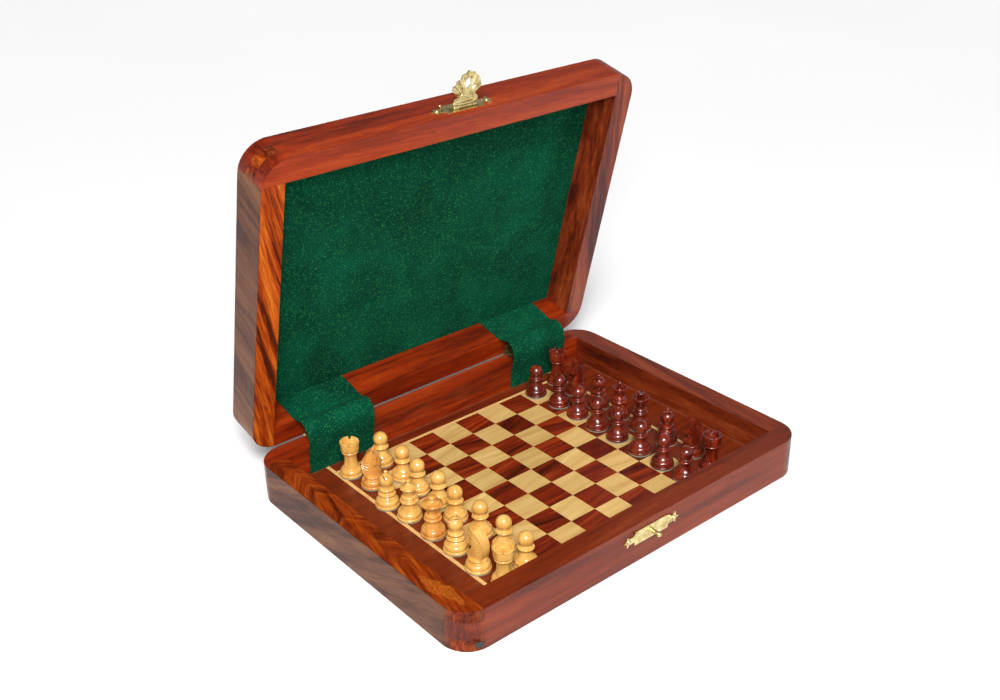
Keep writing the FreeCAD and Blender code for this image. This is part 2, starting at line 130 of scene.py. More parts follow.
class Graph:
    """One material's nodes. A socket given to a node is linked, and anything else is its value."""

    def __init__(self, name):
        self.material = bpy.data.materials.new(name)
        self.material.use_nodes = True
        self.tree = self.material.node_tree
        self.shader = self.tree.nodes["Principled BSDF"]
        self.place = self.add("TexCoord").outputs["Object"]

    def feed(self, socket, value):
        if isinstance(value, bpy.types.NodeSocket):
            self.tree.links.new(value, socket)
        else:
            socket.default_value = value

    def add(self, kind, inputs=None, **settings):
        node = self.tree.nodes.new("ShaderNode" + kind)
        for key, value in settings.items():
            setattr(node, key, value)
        for key, value in (inputs or {}).items():
            self.feed(node.inputs[key], value)
        return node

    def calc(self, operation, a, b=0.0, c=0.0):
        return self.add("Math", {0: a, 1: b, 2: c}, operation=operation).outputs[0]

    def plus(self, a, b):
        return self.calc("ADD", a, b)

    def minus(self, a, b):
        return self.calc("SUBTRACT", a, b)

    def times(self, a, b):
        return self.calc("MULTIPLY", a, b)

    def times_plus(self, a, b, c):
        return self.calc("MULTIPLY_ADD", a, b, c)

    def vector(self, operation, a, b=(0, 0, 0)):
        return self.add("VectorMath", {0: a, 1: b}, operation=operation).outputs[0]

    def moved(self, vector, location=(0, 0, 0), rotation=(0, 0, 0), scale=(1, 1, 1)):
        given = {"Vector": vector, "Location": location, "Rotation": rotation, "Scale": scale}
        return self.add("Mapping", given).outputs[0]

    def noise(self, vector, scale, detail=2.0, rough=0.5, twist=0.0, out=0):
        given = {"Vector": vector, "Scale": scale, "Detail": detail, "Roughness": rough,
                 "Distortion": twist}
        return self.add("TexNoise", given).outputs[out]

    def shift(self, vector, offset, amount):
        """vector moved by amount times a noise colour centred on grey."""
        centred = self.vector("SUBTRACT", offset, (0.5, 0.5, 0.5))
        return self.vector("ADD", vector, self.vector("MULTIPLY", centred, amount))

    def step(self, value, low, high, to_low=0.0, to_high=1.0):
        given = {"Value": value, "From Min": low, "From Max": high, "To Min": to_low, "To Max": to_high}
        return self.add("MapRange", given, interpolation_type="SMOOTHSTEP").outputs[0]

    def ramp(self, value, stops):
        node = self.add("ValToRGB", {0: value})
        fill_ramp(node.color_ramp, stops)
        return node.outputs[0]

    def mix(self, factor, a, b, blend="MIX"):
        return self.add("Mix", {0: factor, 6: a, 7: b}, data_type="RGBA", blend_type=blend).outputs[2]

    def tint(self, colour, where, share, other, blend="MIX"):
        """colour with a share of another colour where a mask is 1."""
        return self.mix(self.times(where, share), colour, other, blend)

    def split(self, vector):
        return self.add("SeparateXYZ", {0: vector}).outputs

    def bump(self, height, distance, strength=1.0):
        given = {"Height": height, "Distance": distance, "Strength": strength}
        self.feed(self.shader.inputs["Normal"], self.add("Bump", given).outputs[0])

    def finish(self, **values):
        names = {"colour": "Base Color", "rough": "Roughness", "coat": "Coat Weight",
                 "coat_rough": "Coat Roughness", "metal": "Metallic", "sheen": "Sheen Weight",
                 "sheen_rough": "Sheen Roughness", "sheen_tint": "Sheen Tint",
                 "specular": "Specular IOR Level"}
        for key, value in values.items():
            self.feed(self.shader.inputs[names[key]], value)
        return self.material


def shades(*stops):
    """Colour stops from (position, red, green, blue)."""
    return [(position, rgb(*colour)) for position, *colour in stops]


DEEP_RED = shades((0.34, 80, 20, 6), (0.44, 116, 33, 6), (0.54, 136, 41, 6), (0.68, 156, 58, 12))
DULL_RED = shades((0.34, 78, 23, 8), (0.44, 98, 32, 9), (0.54, 111, 38, 11), (0.68, 126, 50, 17))
ORANGE = shades((0.32, 58, 18, 6), (0.42, 102, 32, 6), (0.53, 130, 46, 8), (0.68, 158, 72, 16))
GOLDEN = shades((0.32, 62, 20, 8), (0.42, 124, 42, 8), (0.52, 160, 66, 14), (0.68, 190, 100, 30))
BROWN = shades((0.34, 62, 18, 10), (0.44, 98, 32, 12), (0.55, 124, 46, 18), (0.70, 150, 70, 32))
# painted shade and a painted grey reflection: the tones of the left rails' outer face, which faces away from
# the light
SHADED_SIDE_TONES = shades((0.34, 62, 30, 18), (0.44, 88, 49, 29), (0.56, 106, 65, 40), (0.70, 126, 84, 54))
CROTCH = shades((0.34, 58, 18, 8), (0.44, 104, 34, 8), (0.54, 134, 50, 12), (0.68, 170, 82, 24))
LEAF = shades((0.35, 138, 62, 12), (0.55, 166, 82, 22), (0.72, 184, 104, 38))
PALE_TILE = shades((0.30, 184, 140, 80), (0.45, 202, 162, 96), (0.60, 213, 176, 110), (0.75, 223, 190, 126))
DARK_TILE = shades((0.32, 60, 16, 6), (0.43, 102, 25, 5), (0.54, 126, 35, 6), (0.68, 150, 56, 14))
BOXWOOD = shades((0.25, 182, 116, 46), (0.42, 207, 151, 72), (0.56, 221, 169, 88), (0.75, 233, 189, 112))
WARM_BOXWOOD = shades((0.25, 164, 95, 34), (0.42, 193, 126, 54), (0.56, 210, 146, 68), (0.75, 225, 169, 92))
SHEESHAM = shades((0.25, 48, 10, 5), (0.42, 83, 18, 6), (0.58, 112, 29, 9), (0.75, 146, 52, 21))
PLY = shades((0.3, 150, 112, 70), (0.7, 190, 150, 100))
STRING = shades((0.3, 190, 140, 80), (0.5, 214, 168, 104), (0.7, 226, 184, 124))
END_GRAIN = shades((0.4, 172, 156, 158), (0.6, 226, 212, 212))
PILE = shades((0.25, 0, 46, 31), (0.45, 0, 57, 39), (0.6, 0, 66, 45), (0.8, 2, 80, 56))
CLOTH_BACK = shades((0.3, 30, 74, 56), (0.6, 60, 108, 84), (0.8, 110, 140, 116))
GREY_GREEN = shades((0.3, 88, 100, 86), (0.55, 126, 136, 114), (0.8, 168, 174, 150))
BRASS_TONES = shades((0.3, 170, 148, 90), (0.5, 210, 193, 134), (0.7, 238, 226, 176))
STEEL_TONES = shades((0.3, 130, 130, 132), (0.7, 176, 176, 178))
FILLER_TONES = shades((0.3, 16, 14, 16), (0.7, 48, 42, 44))


def shut_place(g, half):
    """Where a point of a half lies with the lid shut."""
    if half == "base":
        return g.place
    return g.moved(g.place, location=LID_BACK, rotation=(LID_OPEN, 0, 0))


def grain(g, vector, turn, seed, squeeze=0.07, warp=0.004):
    """Wood coordinates: one cut of the tree with its grain along the first axis, and the same squeezed
    along the grain and wavy across it."""
    cut = g.moved(vector, location=(0.37 * seed, 0.21 * seed, 0.13 * seed), rotation=turn)
    waves = g.noise(g.moved(cut, scale=(0.35, 1, 1)), 22.0, 2.0, 0.5, out=1)
    bent = g.shift(cut, waves, (0.0, warp, warp))
    return cut, g.moved(bent, scale=(squeeze, 1, 1))


def figure(g, along, stops, contrast=0.8, streaks=150.0, veins=0.0, lines=7.0):
    """The colour and tone of wood from its grain coordinates: soft bands, fine fibres and, where veins
    is more than 0, thin dark lines that wander with the growth."""
    bands = g.noise(along, streaks, 3.0, 0.55, 0.4)
    fibres = g.noise(along, streaks * 7.0, 4.0, 0.65)
    tone = g.times_plus(g.minus(bands, 0.5), contrast, 0.5)
    tone = g.times_plus(g.minus(fibres, 0.5), 0.5 * contrast, tone)
    if veins:
        growth = g.noise(along, streaks * 0.3, 1.5, 0.4)
        wave = g.calc("SINE", g.times(growth, lines * math.tau))
        tone = g.times_plus(g.step(wave, 0.45, 1.0), -veins, tone)
    return g.ramp(tone, stops), tone


def pores(g, along, scale=2600.0, low=0.60, high=0.72):
    """Short open pores along the grain, 1 in a pore."""
    return g.step(g.noise(along, scale, 1.0, 0.4), low, high)


def outer_side(g, axes):
    """How deep a point lies under the rounded outer sides of the box, and how far it is round a corner."""
    corner = CORNER_ROUND * MM
    beyond_x = g.plus(g.calc("ABSOLUTE", axes[0]), corner - HALF_X * MM)
    beyond_y = g.plus(g.calc("ABSOLUTE", axes[1]), corner - HALF_Y * MM)
    x = g.calc("MAXIMUM", beyond_x, 0.0)
    y = g.calc("MAXIMUM", beyond_y, 0.0)
    around = g.calc("SQRT", g.plus(g.times(x, x), g.times(y, y)))
    inner = g.calc("MINIMUM", g.calc("MAXIMUM", beyond_x, beyond_y), 0.0)
    return g.minus(corner, g.plus(around, inner)), g.calc("MINIMUM", beyond_x, beyond_y)


def glue_seam(g, axes, half, along_x, ends):
    """1 on the thin glue lines round the finger joints at a rail's two ends."""
    run = axes[0 if along_x else 1]
    reach = (IN_X if along_x else IN_Y) * MM
    low, high = BASE_FINGER if half == "base" else LID_FINGER
    off_middle = g.calc("ABSOLUTE", g.minus(axes[2], (low + high) / 2 * MM))
    inside = g.minus((high - low) / 2 * MM, off_middle)
    at_low = g.calc("MAXIMUM", g.plus(run, reach), g.times(inside, ends[0]))
    at_high = g.calc("MAXIMUM", g.minus(reach, run), g.times(inside, ends[1]))
    return g.step(g.calc("MINIMUM", at_low, at_high), 0.00004, 0.00016, 1.0, 0.0)


def rail_wood(rail, ends, stops, seed, tilt=0.0, contrast=0.8, streaks=150.0, warp=0.004, veins=0.0,
              outside=None, feather=None):
    """Lacquered wood of one rail. ends are +1 where the rail has the middle finger and -1 where it has
    the outer two, at its low and high ends, for the glue lines. outside is the slope of the grain in its
    duller outer face. That face's colour is darkened and greyed as painted shade and a painted grey
    reflection over its own grain. feather adds a figure of its own."""
    half, side = rail.split("_")
    along_x = side in ("front", "back")
    g = Graph(rail.title() + "_Wood")
    local = shut_place(g, half)
    axes = g.split(local)
    turn = (0, 0, tilt if along_x else math.pi / 2 + tilt)
    cut, along = grain(g, local, turn, seed, warp=warp)
    colour, _ = figure(g, along, stops, contrast, streaks, veins)
    if feather:
        colour = feather(g, local, colour, cut)
    depth, cornered = outer_side(g, axes)
    skin = g.step(depth, 0.00012, 0.00045, 1.0, 0.0)
    round_corner = g.step(cornered, 0.001, 0.006)
    # The flat outer face gets its own grain in darker, greyer tones: painted shade and a painted grey
    # reflection.
    if outside is not None:
        _, outer_along = grain(g, local, (outside, 0, math.pi / 2), seed + 1.0, 0.10, 0.008)
        shaded_side, _ = figure(g, outer_along, SHADED_SIDE_TONES, 0.9, 130.0, 0.09)
        shaded_face = g.times(skin, g.minus(1.0, round_corner))
        colour = g.mix(shaded_face, colour, shaded_side)
    end_grain = g.ramp(g.noise(g.moved(local, scale=(1, 1, 0.15)), 900.0, 2.0), END_GRAIN)
    colour = g.tint(colour, g.times(skin, round_corner), 0.9, end_grain, "MULTIPLY")
    pits = pores(g, along)
    colour = g.tint(colour, pits, 0.45, rgb(44, 12, 6))
    seam = glue_seam(g, axes, half, along_x, ends)
    colour = g.tint(colour, seam, 0.6, rgb(56, 20, 10))

    height = g.times_plus(pits, -0.6, g.times(seam, -1.2))
    g.bump(g.times_plus(g.noise(local, 55.0, 2.0), 0.35, height), 0.00005)
    rough = g.step(g.noise(along, 500.0, 3.0), 0.25, 0.75, 0.30, 0.44)
    specular = 0.22 if outside is None else 0.10
    return g.finish(colour=colour, rough=rough, specular=specular, coat=0.10, coat_rough=0.22)


CROTCH_X = -95.5
LEAF_X, LEAF_Y = -101.4, -56.5
LEAF_HALF_LENGTH, LEAF_HALF_WIDTH = 13.5, 3.4


def crotch(g, local, colour, cut):
    """The feathered figure in the top of the left rail: short slanting streaks that meet along a wavy
    middle line, and a pale leaf of cross grain near the front end."""
    axes = g.split(local)
    sway = g.times(g.minus(g.noise(local, 26.0, 2.0), 0.5), 0.014)
    off = g.calc("ABSOLUTE", g.plus(g.plus(axes[0], sway), -CROTCH_X * MM))
    slanted = g.times_plus(off, 1.7, axes[1])
    plane = g.add("CombineXYZ", {0: g.times(off, 0.25), 1: slanted, 2: axes[2]}).outputs[0]
    streaks = g.noise(plane, 210.0, 3.0, 0.6, 0.5)
    fine = g.noise(plane, 1300.0, 3.0, 0.6)
    tone = g.times_plus(g.minus(fine, 0.5), 0.35, streaks)
    share = g.step(g.noise(local, 34.0, 2.0), 0.40, 0.56)
    colour = g.tint(colour, share, 0.8, g.ramp(tone, CROTCH))

    wobble = g.times(g.minus(g.noise(local, 160.0, 3.0), 0.5), 0.005)
    x = g.plus(axes[0], wobble)
    y = g.plus(axes[1], wobble)
    length = g.calc("DIVIDE", g.plus(y, -LEAF_Y * MM), LEAF_HALF_LENGTH * MM)
    taper = g.minus(1.0, g.times(length, length))
    width = g.times(taper, LEAF_HALF_WIDTH * MM)
    beside = g.calc("ABSOLUTE", g.times_plus(y, 0.10, g.plus(x, -LEAF_X * MM)))
    inside = g.step(g.minus(width, beside), -0.0002, 0.0005)
    flecks = g.noise(g.moved(cut, scale=(0.5, 1, 1)), 1400.0, 3.0, 0.6)
    return g.tint(colour, inside, 0.8, g.ramp(flecks, LEAF))


def panel_wood(name, half, stops, seed, rough=0.4):
    """The lid's top and the box's bottom."""
    g = Graph(name)
    _, along = grain(g, shut_place(g, half), (0, 0, 0.03), seed)
    colour, _ = figure(g, along, stops, 0.9, 110.0, 0.05)
    pits = pores(g, along)
    colour = g.tint(colour, pits, 0.45, rgb(44, 14, 6))
    g.bump(g.times(pits, -0.6), 0.00005)
    return g.finish(colour=colour, rough=rough, specular=0.26, coat=0.10, coat_rough=0.22)


def tile_wood(name, light):
    """The veneer of the squares: each square is its own cut, with its own shade and grain direction."""
    g = Graph(name)
    corner = g.moved(g.place, scale=(1 / (SQUARE * MM),) * 2 + (0,))
    chance = g.add("TexWhiteNoise", {0: g.vector("FLOOR", corner)}, noise_dimensions="3D").outputs["Color"]
    pick = g.split(chance)
    spin = g.times(g.minus(pick[0], 0.5), 0.5)
    spun = g.add("VectorRotate", {"Vector": g.place, "Angle": spin}, rotation_type="Z_AXIS").outputs[0]
    apart = g.vector("ADD", spun, g.vector("MULTIPLY", chance, (3.0, 3.0, 3.0)))
    _, along = grain(g, apart, (0, 0, 0), 1.0, 0.06, 0.0015)
    if light:
        colour, tone = figure(g, along, PALE_TILE, 0.7, 260.0)
    else:
        colour, tone = figure(g, along, DARK_TILE, 0.9, 260.0, 0.05)
    shade = g.step(pick[1], 0.0, 1.0, 0.88 if light else 0.82, 1.04)
    grey = g.add("CombineColor", {0: shade, 1: shade, 2: shade}).outputs[0]
    colour = g.mix(1.0, colour, grey, "MULTIPLY")
    pits = pores(g, along, 2400.0, 0.6, 0.75)
    if light:
        colour = g.tint(colour, pits, 0.3, rgb(162, 118, 66))
    else:
        colour = g.tint(colour, pits, 0.6, rgb(34, 12, 8))
    ripple = g.noise(g.place, 90.0, 2.0)
    g.bump(g.times_plus(ripple, 0.5, g.times(pits, -0.5)), 0.00004)
    rough = g.step(tone, 0.3, 0.7, 0.34, 0.46)
    return g.finish(colour=colour, rough=rough, specular=0.32, coat=0.16, coat_rough=0.2)


def border_wood():
    """The dark strips round the squares, dusty where they meet the walls."""
    g = Graph("Board_Border_Wood")
    axes = g.split(g.place)
    _, along = grain(g, g.place, (0, 0, 0.02), 5.0)
    colour, _ = figure(g, along, DULL_RED, 0.5, 220.0)
    beside = g.minus(IN_Y * MM, g.calc("ABSOLUTE", axes[1]))
    ends = g.minus(IN_X * MM, g.calc("ABSOLUTE", axes[0]))
    near = g.step(g.calc("MINIMUM", beside, ends), 0.0, 0.0016, 1.0, 0.0)
    specks = g.step(g.noise(g.place, 1500.0, 3.0, 0.7), 0.55, 0.72)
    dust = g.times(near, g.times_plus(specks, 0.6, 0.12))
    colour = g.mix(dust, colour, rgb(170, 130, 100))
    pits = pores(g, along)
    colour = g.tint(colour, pits, 0.5, rgb(36, 14, 8))
    g.bump(g.times_plus(dust, 1.5, g.times(pits, -0.5)), 0.00005)
    return g.finish(colour=colour, rough=0.4, specular=0.32, coat=0.16, coat_rough=0.2)


def plain_grain(name, stops, seed):
    g = Graph(name)
    _, along = grain(g, g.place, (0, 0, 0), seed, 0.06, 0.001)
    colour, _ = figure(g, along, stops, 0.6, 260.0)
    g.bump(g.times(pores(g, along), -0.4), 0.00004)
    return g.finish(colour=colour, rough=0.4, coat=0.15, coat_rough=0.15)


def piece_wood(name, stops, seed, contrast):
    """Turned, glossy wood with its grain upright."""
    g = Graph(name)
    _, along = grain(g, g.place, (0, math.pi / 2, 0), seed, 0.12, 0.002)
    colour, _ = figure(g, along, stops, contrast, 300.0)
    pits = pores(g, along, 3000.0, 0.6, 0.75)
    colour = g.tint(colour, pits, 0.25, stops[0][1])
    lathe = g.noise(g.moved(g.place, scale=(0.02, 0.02, 1)), 2200.0, 2.0)
    g.bump(g.times_plus(lathe, 0.35, g.times(pits, -0.3)), 0.00005)
    rough = g.step(g.noise(g.place, 260.0, 2.0), 0.3, 0.7, 0.26, 0.38)
    return g.finish(colour=colour, rough=rough, specular=0.35, coat=0.85, coat_rough=0.07)


def velvet():
    """Short pile: soft patches where it lies differently, and glints from single fibres, painted into
    the colour as pale green specks, a painted highlight.
    """
    g = Graph("Green_Velvet")
    patches = g.noise(g.place, 38.0, 4.0, 0.6, 0.6)
    pile = g.noise(g.place, 1700.0, 3.0, 0.7)
    colour = g.ramp(g.times_plus(g.minus(pile, 0.5), 0.8, patches), PILE)
    cells = g.add("TexVoronoi", {"Vector": g.place, "Scale": 2300.0}).outputs
    lucky = g.step(g.split(cells["Color"])[0], 0.76, 1.0)
    painted_glint = g.times(lucky, g.step(cells["Distance"], 0.25, 0.60, 1.0, 0.0))
    # painted highlight: the glints of single fibres as pale green specks in the base colour
    colour = g.tint(colour, painted_glint, 0.75, rgb(66, 170, 84))
    g.bump(g.times_plus(painted_glint, 0.3, pile), 0.0002, 0.8)
    return g.finish(colour=colour, rough=0.95, specular=0.08, sheen=0.10, sheen_rough=0.4,
                    sheen_tint=rgb(40, 150, 110))


def felt(name, stops):
    g = Graph(name)
    fuzz = g.noise(g.place, 2200.0, 4.0, 0.7)
    g.bump(fuzz, 0.00015, 0.8)
    return g.finish(colour=g.ramp(fuzz, stops), rough=0.95, specular=0.1, sheen=0.3, sheen_rough=0.5)


def brass():
    """Pale pressed brass: a little tarnished, softly uneven and rubbed along the box."""
    g = Graph("Pale_Brass")
    tarnish = g.noise(g.place, 300.0, 4.0, 0.6)
    scratch = g.noise(g.moved(g.place, scale=(0.1, 1, 1)), 6000.0, 2.0)
    relief = g.noise(g.place, 700.0, 1.0, 0.5, 0.6)
    g.bump(g.times_plus(relief, 0.8, g.times_plus(scratch, 0.2, tarnish)), 0.00008)
    rough = g.step(tarnish, 0.3, 0.7, 0.24, 0.40)
    return g.finish(colour=g.ramp(tarnish, BRASS_TONES), metal=0.97, rough=rough)


def steel():
    g = Graph("Plain_Steel")
    rub = g.noise(g.moved(g.place, scale=(0.05, 1, 1)), 3000.0, 3.0)
    return g.finish(colour=g.ramp(rub, STEEL_TONES), metal=1.0, rough=g.step(rub, 0.3, 0.7, 0.3, 0.45))


VELVET = velvet()
BACKING = felt("Velvet_Backing", CLOTH_BACK)
FELT = felt("Grey_Green_Felt", GREY_GREEN)
BRASS = brass()
LIGHT_PIECE = piece_wood("Boxwood_Gloss", BOXWOOD, 2.0, 0.7)
WARM_PIECE = piece_wood("Warm_Boxwood_Gloss", WARM_BOXWOOD, 6.0, 0.9)
DARK_PIECE = piece_wood("Sheesham_Gloss", SHEESHAM, 3.0, 0.9)

CAD_FINISH = {
    "base_front_rail": rail_wood("base_front", (1, -1), DULL_RED, 1.0, 0.02),
    "base_right_rail": rail_wood("base_right", (1, -1), BROWN, 2.3, 0.10, contrast=0.7, veins=0.02),
    "base_back_rail": rail_wood("base_back", (-1, 1), DEEP_RED, 3.1, -0.03),
    "base_left_rail": rail_wood("base_left", (-1, 1), ORANGE, 4.4, 0.20, contrast=1.1, streaks=170.0,
                                warp=0.010, veins=0.08, outside=0.35, feather=crotch),
    "lid_front_rail": rail_wood("lid_front", (-1, 1), DEEP_RED, 5.2, -0.03),
    "lid_right_rail": rail_wood("lid_right", (-1, 1), BROWN, 6.7, 0.16, contrast=1.0, veins=0.06),
    "lid_back_rail": rail_wood("lid_back", (1, -1), DEEP_RED, 7.9, 0.04),
    "lid_left_rail": rail_wood("lid_left", (1, -1), GOLDEN, 8.3, 0.30, contrast=1.1, streaks=170.0,
                               warp=0.008, veins=0.10, outside=1.25),
    "lid_top_panel": panel_wood("Lid_Panel_Wood", "lid", DEEP_RED, 9.5),
    "base_bottom_panel": panel_wood("Bottom_Panel_Wood", "base", BROWN, 10.4, 0.5),
    "board_core": plain_grain("Ply_Core", PLY, 11.0),
    "steel_sheet": steel(),
    "dark_squares": tile_wood("Dark_Veneer", False),
    "light_squares": tile_wood("Light_Veneer", True),
    "board_borders": border_wood(),
    "board_stringing": plain_grain("String_Wood", STRING, 12.0),
}
for node in ("base_hinge_leaves", "lid_hinge_leaves", "hinge_pins", "base_fixings", "lid_fixings",
             "hasp_pin"):
    CAD_FINISH[node] = BRASS
for node, finish in CAD_FINISH.items():
    for slot in frame["nodes"][node].material_slots:
        slot.material = finish


# ---- mesh helpers ----

SHARP = 38.0


def added(name, data):
    """A new object in the scene."""
    made = bpy.data.objects.new(name, data)
    scene.collection.objects.link(made)
    return made


def reworked(mesh, change):
    form = bmesh.new()
    form.from_mesh(mesh)
    change(form)
    form.to_mesh(mesh)
    form.free()


def mesh_of(name, vertices, faces, sharp=SHARP):
    mesh = bpy.data.meshes.new(name)
    mesh.from_pydata([tuple(v) for v in vertices], [], faces)
    mesh.validate()
    reworked(mesh, lambda form: bmesh.ops.recalc_face_normals(form, faces=form.faces))
    mesh.shade_smooth()
    mesh.set_sharp_from_angle(angle=math.radians(sharp))
    return mesh


def placed(mesh, matrix):
    mesh = mesh.copy()
    mesh.transform(matrix)
    return mesh


def evaluated(thing):
    bpy.context.view_layer.update()
    seen = thing.evaluated_get(bpy.context.evaluated_depsgraph_get())
    return bpy.data.meshes.new_from_object(seen)


def combined(mesh, others, operation):
    """mesh with the other meshes cut from it, joined to it or crossed with it, in turn."""
    made = added("temporary", mesh)
    helpers = [added("temporary", other) for other in others]
    for helper in helpers:
        modifier = made.modifiers.new("combine", "BOOLEAN")
        modifier.operation = operation
        modifier.solver = "EXACT"
        modifier.object = helper
    result = evaluated(made)
    for thing in helpers + [made]:
        bpy.data.objects.remove(thing)
    return result


def block(size, matrix):
    """A plain block of the given size, centred and then placed."""
    signs = [(x, y, z) for x in (-1, 1) for y in (-1, 1) for z in (-1, 1)]
    corners = [Vector([sign * length for sign, length in zip(corner, size)]) / 2 for corner in signs]
    faces = [(0, 1, 3, 2), (4, 6, 7, 5), (0, 4, 5, 1), (2, 3, 7, 6), (0, 2, 6, 4), (1, 5, 7, 3)]
    return mesh_of("block", [matrix @ c for c in corners], faces)


def piece(mesh, name, body, materials, replaces=(), matrix=Matrix(), bevel=None):
    """A visible piece from a millimetre mesh: placed by matrix, finished and put on its body."""
    mesh = placed(mesh, matrix)
    mesh.name = name
    mesh.transform(Matrix.Scale(MM, 4))
    mesh.materials.clear()
    for material in materials:
        mesh.materials.append(material)
    made = added(name, mesh)
    if bevel:
        modifier = made.modifiers.new("eased edges", "BEVEL")
        modifier.width = bevel * MM
        modifier.segments = 2
        modifier.limit_method = "ANGLE"
        modifier.angle_limit = math.radians(SHARP)
        modifier.harden_normals = True
    if replaces:
        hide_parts(*replaces)
    if body:
        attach(made, body)
    return made


def arc(a, middle, b, count=8):
    """Points on the circle through a, middle and b, after a and up to b."""
    (ax, ay), (mx, my), (bx, by) = a, middle, b
    d = 2 * (ax * (my - by) + mx * (by - ay) + bx * (ay - my))
    if abs(d) < 1e-9:
        return [b]
    aa, mm, bb = ax * ax + ay * ay, mx * mx + my * my, bx * bx + by * by
    cx = (aa * (my - by) + mm * (by - ay) + bb * (ay - my)) / d
    cy = (aa * (bx - mx) + mm * (ax - bx) + bb * (mx - ax)) / d
    start = math.atan2(ay - cy, ax - cx)
    mid = (math.atan2(my - cy, mx - cx) - start) % math.tau
    end = (math.atan2(by - cy, bx - cx) - start) % math.tau
    if mid > end:
        end -= math.tau
    radius = math.hypot(ax - cx, ay - cy)
    turns = [start + end * k / count for k in range(1, count + 1)]
    return [(cx + radius * math.cos(turn), cy + radius * math.sin(turn)) for turn in turns]


def turned(*steps, start=(0, 0.5), segments=56):
    """A form turned on a lathe, from (r, z) steps. Each step is a point, or an arc's middle and end."""
    points = [start]
    for step in steps:
        if isinstance(step[0], tuple):
            points.extend(arc(points[-1], *step))
        else:
            points.append(step)
    vertices, faces, rings = [], [], []
    for r, z in points:
        first = len(vertices)
        if r < 1e-4:
            vertices.append((0, 0, z))
            rings.append([first])
        else:
            for k in range(segments):
                turn = math.tau * k / segments
                vertices.append((r * math.cos(turn), r * math.sin(turn), z))
            rings.append(list(range(first, first + segments)))
    for low, high in zip(rings, rings[1:]):
        for k in range(segments):
            n = (k + 1) % segments
            if len(low) == 1:
                faces.append((low[0], high[n], high[k]))
            elif len(high) == 1:
                faces.append((low[k], low[n], high[0]))
            else:
                faces.append((low[k], low[n], high[n], high[k]))
    return mesh_of("turned", vertices, faces)


# ---- chess pieces ----

FOOT_R = {"pawn": 5.6, "rook": 5.4, "knight": 5.7, "bishop": 5.6, "queen": 5.7, "king": 5.7}
FELT_IN = 0.1


def foot(kind):
    """The plinth, its groove and the bell, up to the waist."""
    radius = FOOT_R[kind]
    return [(radius - 0.25, 0.5), ((radius, 1.0), (radius - 0.2, 1.55)), (radius - 0.55, 1.7),
            (radius - 0.5, 1.85), ((radius - 0.42, 3.0), (radius - 1.15, 4.1)), (radius - 1.4, 4.25),
            (radius - 1.45, 4.4), ((radius - 1.5, 4.65), (radius - 1.9, 4.85))]


def head(radius, centre, neck):
    """A ball on a neck."""
    return [(neck, centre - math.sqrt(radius ** 2 - neck ** 2)), ((radius, centre), (0, centre + radius))]


def ring(inner, outer, low, high):
    """A rounded ring that stands out from inner to outer between two heights."""
    middle = (low + high) / 2
    return [(inner, low), (outer - 0.25, low + 0.12), ((outer, middle), (outer - 0.25, high - 0.12)),
            (inner, high)]


def pawn():
    return turned(*foot("pawn"), ((2.75, 6.4), (2.35, 8.4)), (2.4, 8.7), *ring(2.6, 3.7, 8.9, 10.1),
                  *head(3.45, 13.45, 2.2))


def queen():
    return turned(
        *foot("queen"), (3.6, 5.6), ((3.3, 6.6), (3.2, 7.6)), *ring(3.2, 4.15, 8.4, 9.8), (3.0, 10.2),
        *ring(2.8, 3.4, 10.4, 11.4), (2.5, 11.8), ((2.55, 13.4), (3.6, 15.2)), ((3.85, 15.6), (3.7, 15.95)),
        (3.2, 16.0), (3.1, 16.1), ((2.0, 16.7), (0.85, 17.5)), (0.65, 17.8), *head(1.0, 18.8, 0.6))


def queen_dark():
    return turned(
        *foot("queen"), (3.6, 5.6), ((3.2, 6.6), (3.0, 7.6)), *ring(3.0, 3.9, 8.4, 9.6), (2.7, 10.0),
        *ring(2.7, 3.3, 10.3, 11.3), (2.3, 11.7), ((2.2, 13.2), (3.3, 15.2)), (3.85, 16.4),
        ((3.75, 16.6), (3.45, 16.5)), (2.8, 15.5), ((1.6, 15.2), (0.8, 16.2)), (0.6, 17.6),
        *head(1.05, 18.7, 0.6))


def king():
    return turned(
        *foot("king"), (3.6, 5.6), ((3.25, 6.6), (3.1, 7.5)), *ring(3.1, 3.95, 8.0, 9.3), (2.9, 9.6),
        *ring(2.9, 3.5, 9.7, 10.9), (2.45, 11.3), ((2.6, 13.4), (4.2, 15.3)), ((4.65, 15.8), (4.4, 16.35)),
        ((2.9, 16.9), (1.65, 17.9)), (1.55, 18.4), ((1.85, 19.0), (1.6, 19.6)), ((1.0, 19.95), (0, 20.0)))


def king_dark():
    return turned(
        *foot("king"), (3.6, 5.6), ((3.1, 6.6), (2.9, 7.6)), *ring(2.9, 3.8, 8.2, 9.4), (2.6, 9.8),
        *ring(2.6, 3.3, 10.0, 11.0), (2.3, 11.4), ((2.3, 13.0), (3.3, 14.8)), ((4.0, 15.8), (4.15, 16.8)),
        ((4.0, 17.1), (3.6, 16.95)), (3.3, 16.0), (2.0, 15.8), (1.7, 16.4), ((1.75, 18.0), (1.95, 19.2)),
        ((1.7, 19.8), (1.2, 19.9)), (0.9, 19.7), (0, 19.7))


def bishop():
    body = turned(
        *foot("bishop"), (3.4, 5.5), ((3.3, 5.9), (3.5, 6.0)), *ring(3.3, 4.0, 6.0, 7.2),
        ((2.85, 7.7), (3.0, 8.2)), *ring(2.9, 3.55, 8.4, 9.6), (2.35, 9.95), (2.3, 10.9),
        ((3.35, 13.4), (0.75, 16.6)), (0.5, 16.85), *head(0.85, 17.55, 0.5))
    slit = at(0, 0, 14.4) @ rotated(-50, "Y") @ at(2.3, 0, 0)
    return combined(body, [block((4.0, 9, 0.55), slit)], "DIFFERENCE")


